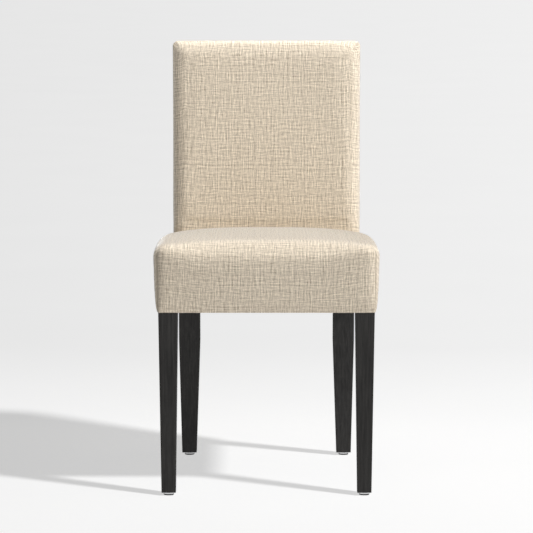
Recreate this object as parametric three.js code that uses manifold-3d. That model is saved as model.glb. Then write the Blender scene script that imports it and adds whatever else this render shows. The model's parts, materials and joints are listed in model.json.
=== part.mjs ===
import * as THREE from 'three';
import { mergeVertices } from 'three/addons/utils/BufferGeometryUtils.js';
import Module from 'manifold-3d';

const wasm = await Module();
wasm.setup();

// Parsons side chair, in millimetres
// +X is to the right as seen from the front, -Y is the front, +Z is up
// While it is drawn, y = 0 is the front legs' front face and z = 0 is the floor

// General
const fit = 0.3;
const overrun = 4;
const fabric = 1.2;
const foamGap = 0.7;
const weldDistance = 0.00001;

// Glides
const glideHeight = 6;
const glideRadius = 11.1;
const cupRimBottom = 2.8;
const cupWall = 0.6;
const padRadius = 9.9;
const padRound = 0.9;
const nailRadius = 1.4;
const nailLength = 18;
const nailPoint = 2.5;

// Front legs and rails
const legFaceX = 220.8;
const frontLegTop = 40.2;
const frontLegFoot = 29.4;
const legEdge = 1.8;
const railBottom = 381.5;
const railHeight = 70;
const frontRailThickness = 22;
const rearRailThickness = 22;
const sideRailThickness = 30.2;
const sideRailSetback = 9;
const railShoulder = 9;
const railTenon = 12;
const tenonLength = 21;
const tenonGap = 2.5;

// Rear legs, which run on up as the back's posts
const postWidth = 46.1;
const postFrontY = 441;
const postDepth = 38;
const postTopDepth = 27;
const straightPost = 123.5;
const rearFootWidth = 31.8;
const rearFootDepth = 30;
const rearFootInset = 21.3;
const rearFootRake = 64;
const postLength = 445;
const backLean = THREE.MathUtils.degToRad(11.5);

// Rails of the back, in the leaning frame
const crestHeight = 55;
const lowerRailStart = 66;
const lowerRailHeight = 40;
const lowerRailThickness = 20;
const backTenon = 10;
const backShoulder = 6;

// Corner blocks and screws
const blockHeight = 45;
const blockReach = 82;
const rearBlockReach = 48;
const blockWing = 12;
const blockDrop = 8;
const frontSpotShare = 0.68;
const rearSpotShare = 0.75;
const screwGrip = 18;
const screwLength = 34;
const screwRadius = 2.1;
const screwHeadRadius = 4.2;
const screwHeadHeight = 3;
const screwPoint = 5;
const driverReach = 60;
const railSpotShare = 0.55;
const railScrewRise = 20;

// Webbing
const strapWidth = 50;
const strapThickness = 1.5;
const strapEnd = 5;
const strapRise = 0.95;
const rampShare = 0.3;
const longPitchShare = 0.62;
const crossPitchShare = 0.24;

// Seat upholstery
const hemDrop = 2.5;
const seatEdgeSkin = 1.7;
const seatSwell = 8.5;
const seatRearSwell = 3.6;
const seatSlim = 3.5;
const seatWidestRise = 32.5;
const seatShoulderRise = 58.5;
const seatRearDrop = 14;
const seatDropStartY = 60;
const seatCrown = 14;
const seatCrownRun = 150;
const seatRoundX = 40;
const seatRoundFront = 40;
const seatRoundRear = 22;
const seatCorner = 28;
const seatCornerGain = 3.3;
const seatCornerLoss = 4;
const seatCornerLeast = 0.4;
const seatRearCornerX = 14;
const seatRearCornerY = 10;
const foamLap = 50;
const hemWidth = 22;
const dustInset = 12;
const dustThickness = 0.8;

// Back upholstery, in the leaning frame
const backPadding = 27.5;
const backBottomGap = 1.5;
const backTopPadding = 19.7;
const backSidePadding = 10.7;
const backFlare = 3.5;
const backHollow = 4;
const backRoundX = 34;
const backRoundFront = 22;
const backRoundRear = 6;
const backTopRound = 15;
const backTopRoundX = 9;
const backTopRoundRear = 8;
const flangeWidth = 14;
const boardThickness = 1.2;
const boardLap = 64;
const boardTopGap = 30;
const tackGap = 2.7;
const tackThickness = 1.2;
const outsideInset = 4;
const outsideTopGap = 9;
const outsideCorner = 10;
const outsideHem = 18;
const slotClearance = 1.6;

// Counts
const sides = { round: 20, screw: 12 };
const legSteps = { corner: 2, across: 1, along: 1 };
const seatSteps = { corner: 4, across: 6, along: 5 };
const foamSteps = { corner: 3, across: 5, along: 4 };
const backSteps = { corner: 5, across: 8, along: 2 };
const straps = 3;

// Levels that follow from the sizes above
const railTop = railBottom + railHeight;
const sideRailInnerX = legFaceX - sideRailThickness;
const postOuterX = sideRailInnerX - fit;
const postInnerX = postOuterX - postWidth;
const postRearY = postFrontY + postDepth;
const rearFootX = postOuterX - rearFootInset;
const rearFootY = postFrontY + rearFootRake;
const taperStartZ = railBottom - straightPost;
const seatBottom = railBottom - hemDrop;
const seatWidestZ = railTop + seatWidestRise;
const seatShoulderZ = railTop + seatShoulderRise;
const seatFoamBottom = railTop - foamLap;
const boardBottom = railTop - boardLap;
const backLength = postLength + backTopPadding;
const backBottomHalf = postOuterX + backSidePadding;
const backTopHalf = backBottomHalf + backFlare;
const strapStack = fit + strapThickness + 2 * strapRise;
const seatDropEndY = postFrontY - backPadding + fabric;
const backWrap = fabric + 2 * fit;
const outsideWrap = backWrap + fit;
const backBottom = (postDepth + backWrap) * Math.tan(backLean) + backBottomGap;
const foamInset = fabric + foamGap;
const backFrame = new THREE.Matrix4()
  .makeRotationX(-backLean)
  .setPosition(0, postFrontY, railTop);

// Colours, roughness and metalness
const wood = new THREE.MeshStandardMaterial({ color: 0x2a2826, roughness: 0.45, metalness: 0 });
const rawWood = new THREE.MeshStandardMaterial({ color: 0xc9a877, roughness: 0.8, metalness: 0 });
const linen = new THREE.MeshStandardMaterial({ color: 0xcdbda4, roughness: 0.95, metalness: 0 });
const foam = new THREE.MeshStandardMaterial({ color: 0xe9dfb4, roughness: 1, metalness: 0 });
const webbing = new THREE.MeshStandardMaterial({ color: 0x8a7a5c, roughness: 0.95, metalness: 0 });
const card = new THREE.MeshStandardMaterial({ color: 0x9c8465, roughness: 0.9, metalness: 0 });
const cambric = new THREE.MeshStandardMaterial({ color: 0x1b1b1c, roughness: 1, metalness: 0 });
const steel = new THREE.MeshStandardMaterial({ color: 0xc4c6c8, roughness: 0.3, metalness: 1 });
const nylon = new THREE.MeshStandardMaterial({ color: 0x2b2b2d, roughness: 0.6, metalness: 0 });

// Closed geometry with shared vertices and nothing but positions
function welded(geometry) {
  const bare = new THREE.BufferGeometry();
  bare.setAttribute('position', geometry.attributes.position.clone());
  if (geometry.index) bare.setIndex(geometry.index.clone());
  return mergeVertices(bare, weldDistance);
}

function solidOf(geometry) {
  const closed = welded(geometry);
  return new wasm.Manifold(new wasm.Mesh({
    numProp: 3,
    vertProperties: Float32Array.from(closed.attributes.position.array),
    triVerts: Uint32Array.from(closed.index.array),
  }));
}

function geometryOf(solid) {
  const result = solid.getMesh();
  const geometry = new THREE.BufferGeometry();
  geometry.setAttribute('position', new THREE.BufferAttribute(result.vertProperties, result.numProp));
  geometry.setIndex(new THREE.BufferAttribute(result.triVerts, 1));
  return geometry;
}

function cut(geometry, ...tools) {
  const whole = solidOf(geometry);
  return geometryOf(tools.reduce((rest, tool) => rest.subtract(solidOf(tool)), whole));
}

function joined(geometry, ...others) {
  const whole = solidOf(geometry);
  return geometryOf(others.reduce((sum, other) => sum.add(solidOf(other)), whole));
}

function common(geometry, other) {
  return geometryOf(solidOf(geometry).intersect(solidOf(other)));
}

function mirrored(geometry) {
  const twin = welded(geometry).applyMatrix4(new THREE.Matrix4().makeScale(-1, 1, 1));
  const order = twin.index.array;
  for (let i = 0; i < order.length; i += 3) {
    const first = order[i];
    order[i] = order[i + 1];
    order[i + 1] = first;
  }
  return twin;
}

// Simple shapes, placed by their limits
function box([x0, x1], [y0, y1], [z0, z1], grow = 0) {
  const size = [x1 - x0, y1 - y0, z1 - z0].map((length) => length + 2 * grow);
  return new THREE.BoxGeometry(...size).translate((x0 + x1) / 2, (y0 + y1) / 2, (z0 + z1) / 2);
}

function prism(points, bottom, height) {
  const shape = new THREE.Shape(points.map(([x, y]) => new THREE.Vector2(x, y)));
  const settings = { depth: height, bevelEnabled: false, curveSegments: 1 };
  return new THREE.ExtrudeGeometry(shape, settings).translate(0, 0, bottom);
}

// A side view in y and z, drawn out evenly to both sides of x = 0
function sideExtrusion(points, halfWidth) {
  const turn = new THREE.Matrix4().set(
    0, 0, 1, -halfWidth,
    1, 0, 0, 0,
    0, 1, 0, 0,
    0, 0, 0, 1,
  );
  return prism(points, 0, 2 * halfWidth).applyMatrix4(turn);
}

// A solid of revolution about Z, its profile given as radius and height
function turned(profile, segments) {
  const points = profile.map(([radius, height]) => new THREE.Vector2(radius, height));
  return new THREE.LatheGeometry(points, segments).rotateX(Math.PI / 2);
}

// Quarter of an ellipse from a start angle, both ends included
function quarter(x, y, round, start, count) {
  return Array.from({ length: count + 1 }, (_, i) => {
    const angle = start + (Math.PI / 2) * (i / count);
    return new THREE.Vector2(x + round[0] * Math.cos(angle), y + round[1] * Math.sin(angle));
  });
}

// Rectangle with elliptical corners, counted off evenly so that rings match
function outline(plan, steps) {
  const { right, front, rear, frontRound, rearRound } = plan;
  const left = plan.left ?? -right;
  const frontY = front + frontRound[1];
  const rearY = rear - rearRound[1];
  const arcs = [
    quarter(right - frontRound[0], frontY, frontRound, -Math.PI / 2, steps.corner),
    quarter(right - rearRound[0], rearY, rearRound, 0, steps.corner),
    quarter(left + rearRound[0], rearY, rearRound, Math.PI / 2, steps.corner),
    quarter(left + frontRound[0], frontY, frontRound, Math.PI, steps.corner),
  ];
  return arcs.flatMap((arc, n) => {
    const next = arcs[(n + 1) % arcs.length];
    const run = n % 2 === 0 ? steps.along : steps.across;
    const between = [];
    for (let i = 1; i < run; i += 1) {
      between.push(arc.at(-1).clone().lerp(next[0], i / run));
    }
    return [...arc, ...between];
  });
}

function levelRing(points, z) {
  return points.map((p) => new THREE.Vector3(p.x, p.y, z));
}

function centreOf(ring) {
  const sum = ring.reduce((total, p) => total.add(p), new THREE.Vector3());
  return sum.divideScalar(ring.length);
}

// Closed skin over a stack of rings, with a fan at each end
function loft(rings, bottomPole = centreOf(rings[0]), topPole = centreOf(rings.at(-1))) {
  const count = rings[0].length;
  const vertices = [bottomPole, ...rings.flat(), topPole];
  const index = [];
  for (let i = 0; i < count; i += 1) {
    const next = (i + 1) % count;
    index.push(0, 1 + next, 1 + i);
    for (let level = 0; level < rings.length - 1; level += 1) {
      const low = 1 + level * count;
      const high = low + count;
      index.push(low + i, low + next, high + next, low + i, high + next, high + i);
    }
    const last = 1 + (rings.length - 1) * count;
    index.push(vertices.length - 1, last + i, last + next);
  }
  const geometry = new THREE.BufferGeometry().setFromPoints(vertices);
  geometry.setIndex(index);
  return geometry;
}

function mix(from, to, share) {
  return from + (to - from) * share;
}

const chair = new THREE.Group();

function add(name, geometry, material) {
  const closed = welded(geometry);
  closed.computeVertexNormals();
  const mesh = new THREE.Mesh(closed, material);
  mesh.name = name;
  chair.add(mesh);
}

function addPair(name, rightGeometry, material) {
  add(`${name}_right`, rightGeometry, material);
  add(`${name}_left`, mirrored(rightGeometry), material);
}

// Glides: a steel cup with its nail, and a nylon pad that stands on the floor
const cupTop = glideHeight;
const nailTip = cupTop + nailLength;
const padTop = cupTop - cupWall - fit;
const padLip = cupRimBottom - fit;
const frontFootX = legFaceX - frontLegTop / 2;
const frontFootY = frontLegTop / 2;

function cupProfile(grow) {
  return [
    [0, cupTop - cupWall],
    [glideRadius - cupWall, cupTop - cupWall],
    [glideRadius - cupWall, cupRimBottom],
    [glideRadius, cupRimBottom],
    [glideRadius, cupTop - cupWall],
    [glideRadius - cupWall, cupTop],
    [nailRadius + grow, cupTop],
    [nailRadius + grow, nailTip - nailPoint],
    [0, nailTip + grow],
  ];
}

const padProfile = [
  [0, 0],
  [padRadius, 0],
  [padRadius + padRound, padRound],
  [padRadius + padRound, padLip],
  [glideRadius - cupWall - fit, padLip],
  [glideRadius - cupWall - fit, padTop],
  [0, padTop],
];

function nailHole(x, y) {
  const radius = nailRadius + fit;
  const profile = [[0, 0], [radius, 0], [radius, nailTip - nailPoint], [0, nailTip + fit]];
  return turned(profile, sides.screw).translate(x, y, 0);
}

function addGlides(name, x, y) {
  addPair(`${name}_glide_cup`, turned(cupProfile(0), sides.round).translate(x, y, 0), steel);
  addPair(`${name}_glide_pad`, turned(padProfile, sides.round).translate(x, y, 0), nylon);
}

addGlides('front', frontFootX, frontFootY);
addGlides('rear', rearFootX, rearFootY);

// Rails, with their tenons, of the right side or across the chair
const sideRailMidX = (sideRailInnerX + legFaceX) / 2;
const rearRailFront = postRearY - rearRailThickness;
const tenonZ = [railBottom + railShoulder, railTop - railShoulder];

function about(middle, width) {
  return [middle - width / 2, middle + width / 2];
}

const frontRailHalf = legFaceX - frontLegTop - fit;
const frontTenon = [
  about(0, 2 * (frontRailHalf + tenonLength)),
  about(frontRailThickness / 2, railTenon),
  tenonZ,
];
const rearRailHalf = postInnerX - fit;
const rearTenon = [
  about(0, 2 * (rearRailHalf + tenonLength)),
  about(postRearY - rearRailThickness / 2, railTenon),
  tenonZ,
];
const sideRailFront = frontLegTop + fit;
const sideTenonFront = (frontRailThickness + railTenon) / 2 + tenonGap;
const sideTenon = [
  about(sideRailMidX, railTenon),
  [sideTenonFront, sideRailFront + overrun],
  tenonZ,
];
const railZ = [railBottom, railTop];
const sideRailY = [sideRailFront, postRearY - sideRailSetback];

const frontRailBody = box(about(0, 2 * frontRailHalf), [0, frontRailThickness], railZ);
const rearRailBody = box(about(0, 2 * rearRailHalf), [rearRailFront, postRearY], railZ);
const sideRailBody = box([sideRailInnerX, legFaceX], sideRailY, railZ);
const frontRail = joined(frontRailBody, box(...frontTenon));
const rearRail = joined(rearRailBody, box(...rearTenon));
const sideRail = joined(sideRailBody, box(...sideTenon));

// Front legs: tapered to the foot, straight beside the rails
const legRound = [legEdge, legEdge];

function legRing([left, right], [front, rear], z) {
  const plan = { left, right, front, rear, frontRound: legRound, rearRound: legRound };
  return levelRing(outline(plan, legSteps), z);
}

function frontLegRing(z, width) {
  return legRing(about(frontFootX, width), about(frontFootY, width), z);
}

function frontLeg() {
  const foot = glideHeight + fit;
  const body = loft([
    frontLegRing(foot, frontLegFoot),
    frontLegRing(railBottom, frontLegTop),
    frontLegRing(railTop, frontLegTop),
  ]);
  const mortises = [box(...frontTenon, fit), box(...sideTenon, fit)];
  return cut(body, ...mortises, nailHole(frontFootX, frontFootY));
}

addPair('front_leg', frontLeg(), wood);

// Rear legs: tapered and raked below the rails, leaning back above them
const crestRange = [postLength - crestHeight, postLength];
const lowerRailRange = [lowerRailStart, lowerRailStart + lowerRailHeight];

function backTenonBox([low, high], thickness, grow = 0) {
  const half = postInnerX - fit + tenonLength;
  const middle = about(thickness / 2, backTenon);
  const span = [low + backShoulder, high - backShoulder];
  return box(about(0, 2 * half), middle, span, grow);
}

function backRail(range, thickness) {
  const body = box(about(0, 2 * (postInnerX - fit)), [0, thickness], range);
  return joined(body, backTenonBox(range, thickness)).applyMatrix4(backFrame);
}

function backMortise(range, thickness) {
  return backTenonBox(range, thickness, fit).applyMatrix4(backFrame);
}

function postRing(x, width, front, depth, z) {
  return legRing(about(x, width), [front, front + depth], z);
}

// Depth of the posts at a height in the leaning frame
function postDepthAt(z) {
  return mix(postDepth, postTopDepth, z / postLength);
}

function rearLeg() {
  const foot = glideHeight + fit;
  const postX = postOuterX - postWidth / 2;
  const rakeShare = (railBottom - taperStartZ) / (railBottom - foot);
  const footFront = rearFootY - rearFootDepth / 2;
  const rings = [
    postRing(rearFootX, rearFootWidth, footFront, rearFootDepth, foot),
    postRing(
      postX,
      postWidth,
      mix(postFrontY, footFront, rakeShare),
      mix(postDepth, rearFootDepth, rakeShare),
      taperStartZ,
    ),
    postRing(postX, postWidth, postFrontY, postDepth, railBottom),
    postRing(postX, postWidth, postFrontY, postDepth, railTop),
  ];
  const top = postRing(postX, postWidth, 0, postTopDepth, postLength);
  top.forEach((p) => p.applyMatrix4(backFrame));
  return cut(
    loft([...rings, top]),
    box(...rearTenon, fit),
    backMortise(lowerRailRange, lowerRailThickness),
    backMortise(crestRange, postTopDepth),
    nailHole(rearFootX, rearFootY),
  );
}

add('crest_rail', backRail(crestRange, postTopDepth), rawWood);
add('lower_back_rail', backRail(lowerRailRange, lowerRailThickness), rawWood);

// Screws: a countersunk head, a plain shank and a point, drawn along +Z with the head on top
function screwProfile(grow) {
  return [
    [0, -screwLength - grow],
    [screwRadius + grow, screwPoint - screwLength],
    [screwRadius + grow, -screwHeadHeight],
    [screwHeadRadius + grow, 0],
    [0, 0],
  ];
}

// The same screw grown by the clearance, with the way in that the driver needs
function screwWay() {
  const profile = screwProfile(fit).slice(0, -1);
  profile.push([screwHeadRadius + fit, driverReach], [0, driverReach]);
  return turned(profile, sides.screw);
}

// Turn a screw so that its point faces a direction, and put its head in place
function placed(geometry, [x, y, z], direction) {
  const up = new THREE.Vector3(0, 0, 1);
  const away = new THREE.Vector3(...direction).negate();
  const turn = new THREE.Quaternion().setFromUnitVectors(up, away);
  return geometry.applyQuaternion(turn).translate(x, y, z);
}

function screwAt(spot, direction) {
  return placed(turned(screwProfile(0), sides.screw), spot, direction);
}

function screwHoleAt(spot, direction) {
  return placed(screwWay(), spot, direction);
}

// Corner blocks of the right side, each with a screw to the side rail and one to its end member
const blockZ = railTop - blockDrop - blockHeight;
const blockMidZ = blockZ + blockHeight / 2;
const corners = {
  front: {
    y: frontRailThickness,
    inward: 1,
    notchX: sideRailInnerX - (legFaceX - frontLegTop),
    notchY: frontLegTop - frontRailThickness,
    reach: blockReach,
    spot: blockReach * frontSpotShare,
  },
  rear: {
    y: postFrontY,
    inward: -1,
    notchX: 0,
    notchY: 0,
    reach: rearBlockReach,
    spot: rearBlockReach * rearSpotShare,
  },
};

function blockSpot(corner, across, along) {
  return [sideRailInnerX - across, corner.y + corner.inward * along];
}

function blockBody(corner) {
  const { notchX, notchY, reach } = corner;
  const points = [
    [notchX + fit, fit],
    [reach, fit],
    [reach, fit + blockWing],
    [fit + blockWing, reach],
    [fit, reach],
    [fit, notchY + fit],
  ];
  if (notchX > 0) points.push([notchX + fit, notchY + fit]);
  const plan = points.map(([across, along]) => blockSpot(corner, across, along));
  return prism(plan, blockZ, blockHeight);
}

function blockScrews(corner) {
  const [sideX, sideY] = blockSpot(corner, screwGrip, corner.spot);
  const [endX, endY] = blockSpot(corner, corner.spot, screwGrip);
  return [
    { part: 'side_screw', spot: [sideX, sideY, blockMidZ], direction: [1, 0, 0] },
    { part: 'end_screw', spot: [endX, endY, blockMidZ], direction: [0, -corner.inward, 0] },
  ];
}

const blockHoles = {};
for (const [end, corner] of Object.entries(corners)) {
  const screws = blockScrews(corner);
  blockHoles[end] = screws.map(({ spot, direction }) => screwHoleAt(spot, direction));
  addPair(`${end}_corner_block`, cut(blockBody(corner), ...blockHoles[end]), rawWood);
  for (const { part, spot, direction } of screws) {
    addPair(`${end}_block_${part}`, screwAt(spot, direction), steel);
  }
}

// Screws through each side rail into its post, one above the other
const railScrews = [-1, 1].map((way) => ({
  spot: [
    legFaceX - fit,
    postFrontY + postDepth * railSpotShare,
    railBottom + railHeight / 2 + (way * railScrewRise) / 2,
  ],
  direction: [-1, 0, 0],
}));
const railScrewHoles = railScrews.map(({ spot, direction }) => screwHoleAt(spot, direction));
railScrews.forEach(({ spot, direction }, n) => {
  addPair(`rail_screw_${n + 1}`, screwAt(spot, direction), steel);
});

addPair('rear_leg', cut(rearLeg(), ...railScrewHoles, blockHoles.rear[1]), wood);
const sideHoles = [...railScrewHoles, blockHoles.front[0], blockHoles.rear[0]];
addPair('side_rail', cut(sideRail, ...sideHoles), rawWood);
const frontHole = blockHoles.front[1];
add('front_rail', cut(frontRail, frontHole, mirrored(frontHole)), rawWood);
add('rear_rail', rearRail, rawWood);

// Seat webbing, woven over and under where the straps cross
const strapZ = railTop + fit + strapRise;

function wovenStrap(from, to, crossings, firstWay) {
  const middle = [[from, 0]];
  const ramp = (crossings[1] - crossings[0] - strapWidth) * rampShare;
  crossings.forEach((place, n) => {
    const way = n % 2 === 0 ? firstWay : -firstWay;
    const half = strapWidth / 2 + fit;
    middle.push([place - half - ramp, 0]);
    middle.push([place - half, way * strapRise]);
    middle.push([place + half, way * strapRise]);
    middle.push([place + half + ramp, 0]);
  });
  middle.push([to, 0]);
  const under = middle.map(([along, rise]) => [along, strapZ + rise]);
  const over = under.map(([along, z]) => [along, z + strapThickness]).reverse();
  return sideExtrusion([...under, ...over], strapWidth / 2);
}

function evenly(count, middle, pitch) {
  return Array.from({ length: count }, (_, n) => middle + (n - (count - 1) / 2) * pitch);
}

const lengthwise = evenly(straps, 0, postInnerX * longPitchShare);
const crosswise = evenly(straps, postFrontY / 2, postFrontY * crossPitchShare);
lengthwise.forEach((x, n) => {
  const way = n % 2 === 0 ? 1 : -1;
  const strap = wovenStrap(strapEnd, postRearY - strapEnd, crosswise, way).translate(x, 0, 0);
  add(`seat_strap_long_${n + 1}`, strap, webbing);
});
crosswise.forEach((y, n) => {
  const way = n % 2 === 0 ? -1 : 1;
  const reach = legFaceX - strapEnd;
  const strap = wovenStrap(-reach, reach, lengthwise, way).rotateZ(-Math.PI / 2);
  add(`seat_strap_cross_${n + 1}`, strap.translate(0, y, 0), webbing);
});

const backSpan = [lowerRailRange[1], crestRange[0]];
const backPitch = (backSpan[1] - backSpan[0]) / straps;
evenly(straps, (backSpan[0] + backSpan[1]) / 2, backPitch).forEach((middle, n) => {
  const reach = postOuterX - strapEnd;
  const strap = box([-reach, reach], [-fit - strapThickness, -fit], about(middle, strapWidth));
  add(`back_strap_${n + 1}`, strap.applyMatrix4(backFrame), webbing);
});

// Seat form: a box that bulges over the rails, with a soft edge and a crowned top
const swellShares = [0, 0.08, 0.3, 0.6, 1];
const swellPower = 0.42;
const edgeShares = [0.18, 0.36, 0.55, 0.75, 0.94];
const edgePower = 0.87;
const shrinkShares = [0.78, 0.52, 0.26];
const dropPower = 1.4;
const crownPower = 2.6;

function seatPlateau(y) {
  const share = Math.max(0, (y - seatDropStartY) / (seatDropEndY - seatDropStartY));
  return seatShoulderZ - seatRearDrop * share ** dropPower;
}

// Crown across the seat, which fades in from the front edge
function seatCrownAt(x, y) {
  const fadeIn = THREE.MathUtils.smoothstep(y, 0, seatCrownRun);
  return seatCrown * fadeIn * (1 - Math.abs(x / legFaceX) ** crownPower);
}

// The swollen sides come in a little towards the rear
function slimmed(points, swellShare) {
  const slimShare = (seatSlim * swellShare) / legFaceX;
  points.forEach((p) => {
    p.x *= 1 - slimShare * Math.max(0, p.y / postRearY);
  });
  return points;
}

// The plan is drawn in by an inset at its walls, and further as the edge rolls over
function seatPlan(out, rearOut, inset, keep, steps) {
  const drawn = 1 - keep;
  const corner = Math.min(seatCorner, seatCornerGain * out - seatCornerLoss);
  const round = Math.max(corner - inset, seatCornerLeast) * keep;
  const points = outline({
    right: legFaceX + out - inset * keep - seatRoundX * drawn,
    front: -out + inset * keep + seatRoundFront * drawn,
    rear: postRearY + rearOut - inset * keep - seatRoundRear * drawn,
    frontRound: [round, round],
    rearRound: [(seatRearCornerX - inset) * keep, (seatRearCornerY - inset) * keep],
  }, steps);
  return slimmed(points, (out - seatEdgeSkin) / seatSwell);
}

function seatTopPoint(x, y, inset, lift) {
  const top = seatPlateau(y) + seatCrownAt(x, y) - inset;
  return new THREE.Vector3(x, y, mix(seatWidestZ, top, lift));
}

function seatForm(inset, bottom, steps) {
  const rings = [];
  for (const share of swellShares) {
    const z = mix(bottom, seatWidestZ, share);
    const rise = Math.max(0, (z - seatBottom) / (seatWidestZ - seatBottom)) ** swellPower;
    const out = seatEdgeSkin + seatSwell * rise;
    const rearOut = seatEdgeSkin + seatRearSwell * rise;
    rings.push(levelRing(seatPlan(out, rearOut, inset, 1, steps), z));
  }
  const widest = [seatEdgeSkin + seatSwell, seatEdgeSkin + seatRearSwell];
  for (const share of edgeShares) {
    const angle = (share * Math.PI) / 2;
    const keep = Math.cos(angle) ** edgePower;
    const lift = Math.sin(angle) ** edgePower;
    const plan = seatPlan(...widest, inset, keep, steps);
    rings.push(plan.map(({ x, y }) => seatTopPoint(x, y, inset, lift)));
  }
  const edge = rings.at(-1);
  const { x: middleX, y: middleY } = centreOf(edge);
  for (const share of shrinkShares) {
    rings.push(edge.map((p) => {
      const x = mix(middleX, p.x, share);
      return seatTopPoint(x, mix(middleY, p.y, share), inset, 1);
    }));
  }
  return loft(rings, centreOf(rings[0]), seatTopPoint(middleX, middleY, inset, 1));
}

// Back form, drawn upright in the leaning frame
const backLevelShares = [0, 0.2, 0.4, 0.6, 0.8, 1];
const topShares = [0.25, 0.5, 0.75, 1];

function backPlan(z, inset, drawn, steps) {
  const share = z / backLength;
  const right = mix(backBottomHalf, backTopHalf, share) - inset - backTopRoundX * drawn;
  const front = -backPadding + inset + backTopRound * drawn;
  const cornerFront = backRoundFront - inset - (backTopRound * drawn) / 2;
  const rearRound = (backRoundRear - inset) * (1 - drawn / 2);
  const points = outline({
    right,
    front,
    rear: postDepthAt(z) + backWrap - inset - backTopRoundRear * drawn,
    frontRound: [backRoundX - inset, cornerFront],
    rearRound: [rearRound, rearRound],
  }, steps);
  points.forEach((p) => {
    const nearness = THREE.MathUtils.clamp(1 - (p.y - front) / cornerFront, 0, 1);
    p.y -= backHollow * nearness * (p.x / right) ** 2;
  });
  return points;
}

function backForm(inset, bottom, steps) {
  const top = backLength - inset;
  const shoulder = top - backTopRound;
  const rings = backLevelShares.map((share) => {
    const z = mix(bottom, shoulder, share);
    return levelRing(backPlan(z, inset, 0, steps), z);
  });
  for (const share of topShares) {
    const angle = (share * Math.PI) / 2;
    const z = shoulder + backTopRound * Math.sin(angle);
    rings.push(levelRing(backPlan(z, inset, 1 - Math.cos(angle), steps), z));
  }
  return loft(rings).applyMatrix4(backFrame);
}

// Rear face of the back, followed down past the rails, at a distance behind the posts
function rearLine(distance, bottom, top) {
  const low = new THREE.Vector3(0, postDepth + distance, 0).applyMatrix4(backFrame);
  const high = new THREE.Vector3(0, postDepthAt(top) + distance, top).applyMatrix4(backFrame);
  const y = postRearY + distance;
  const bendZ = mix(low.z, high.z, (y - low.y) / (high.y - low.y));
  return [[y, bottom], [y, bendZ], [high.y, high.z]];
}

function rearSheet(distance, thickness, bottom, top, halfWidth) {
  const inner = rearLine(distance, bottom, top);
  const outer = rearLine(distance + thickness, bottom, top).reverse();
  return sideExtrusion([...inner, ...outer], halfWidth);
}

// Dust cover, notched for the legs and posts
function dustCover() {
  const x = legFaceX - dustInset;
  const legX = legFaceX - frontLegTop - fit;
  const legY = frontLegTop + fit;
  const postX = postInnerX - fit;
  const postY = postFrontY - fit;
  const halfPlan = [
    [legX, dustInset],
    [legX, legY],
    [x, legY],
    [x, postY],
    [postX, postY],
    [postX, postRearY - dustInset],
  ];
  const otherHalf = halfPlan.map(([px, py]) => [-px, py]).reverse();
  return prism([...halfPlan, ...otherHalf], seatBottom - fit - dustThickness, dustThickness);
}

// Seat cover: a shell, open below inside its hem, cut round the legs and the back
const farOut = legFaceX + postRearY;
const outsideHalf = backBottomHalf - outsideInset;
const slotHalf = outsideHalf + slotClearance;

function hemOpening() {
  const x = legFaceX - hemWidth;
  return box([-x, x], [hemWidth, postRearY - hemWidth], [seatBottom - overrun, railBottom]);
}

function frontLegSpace() {
  const x = [legFaceX - frontLegTop, legFaceX];
  return box(x, [0, frontLegTop], [seatBottom - overrun, railTop], fit);
}

// Way for the outside-back cover, which runs down past the rear rail
function rearSlot(front) {
  const z = [seatBottom - overrun, seatWidestZ + overrun];
  return box([-slotHalf, slotHalf], [front, postRearY + farOut], z);
}

function seatCover() {
  return cut(
    seatForm(0, seatBottom, seatSteps),
    seatForm(fabric, seatBottom + fabric, seatSteps),
    hemOpening(),
    frontLegSpace(),
    mirrored(frontLegSpace()),
    backForm(-fit, backBottom - fit, backSteps),
    rearSlot(postFrontY - hemWidth),
  );
}

function seatFoam() {
  const frameTop = railTop + strapStack;
  return cut(
    seatForm(foamInset, seatFoamBottom, foamSteps),
    box([-legFaceX, legFaceX], [0, postRearY + farOut], [seatBottom, frameTop], fit),
    backForm(-fit, -overrun, backSteps),
    rearSlot(postFrontY),
  );
}

add('seat_foam', seatFoam(), foam);
add('seat_cover', seatCover(), linen);
add('dust_cover', dustCover(), cambric);

// Inside-back cover: front, sides and top, with a flange turned in behind the posts
function backCore(inset, low, high) {
  const x = backBottomHalf - flangeWidth + inset;
  const core = box([-x, x], [postTopDepth, postDepth + overrun + backWrap], [low, high]);
  return core.applyMatrix4(backFrame);
}

const windowTop = backLength - flangeWidth;

function insideBackCover() {
  return cut(
    backForm(0, backBottom, backSteps),
    backForm(fabric, backBottom - overrun, backSteps),
    backCore(0, -overrun, windowTop),
  );
}

function backFoam() {
  const front = -strapThickness - 2 * fit;
  const x = postOuterX + fit;
  const y = [front, postDepth + farOut];
  const frame = box([-x, x], y, [-overrun, postLength + fit]).applyMatrix4(backFrame);
  return cut(backForm(foamInset, backBottom + fit, backSteps), frame);
}

add('inside_back_cover', insideBackCover(), linen);
add('back_foam', backFoam(), foam);

// Board and tack strip behind the posts, and the outside-back cover over both
const boardHalf = backBottomHalf - flangeWidth - fit;
const boardTop = backLength - boardTopGap;
const tackStart = boardTop + fit;
const tackTop = windowTop - tackGap;
add('back_board', rearSheet(fit, boardThickness, boardBottom, boardTop, boardHalf), card);

function tackStrip() {
  const low = postDepthAt(tackStart) + fit;
  const strip = box([-boardHalf, boardHalf], [low, low + tackThickness], [tackStart, tackTop]);
  return strip.applyMatrix4(backFrame);
}

add('tack_strip', tackStrip(), card);

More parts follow.
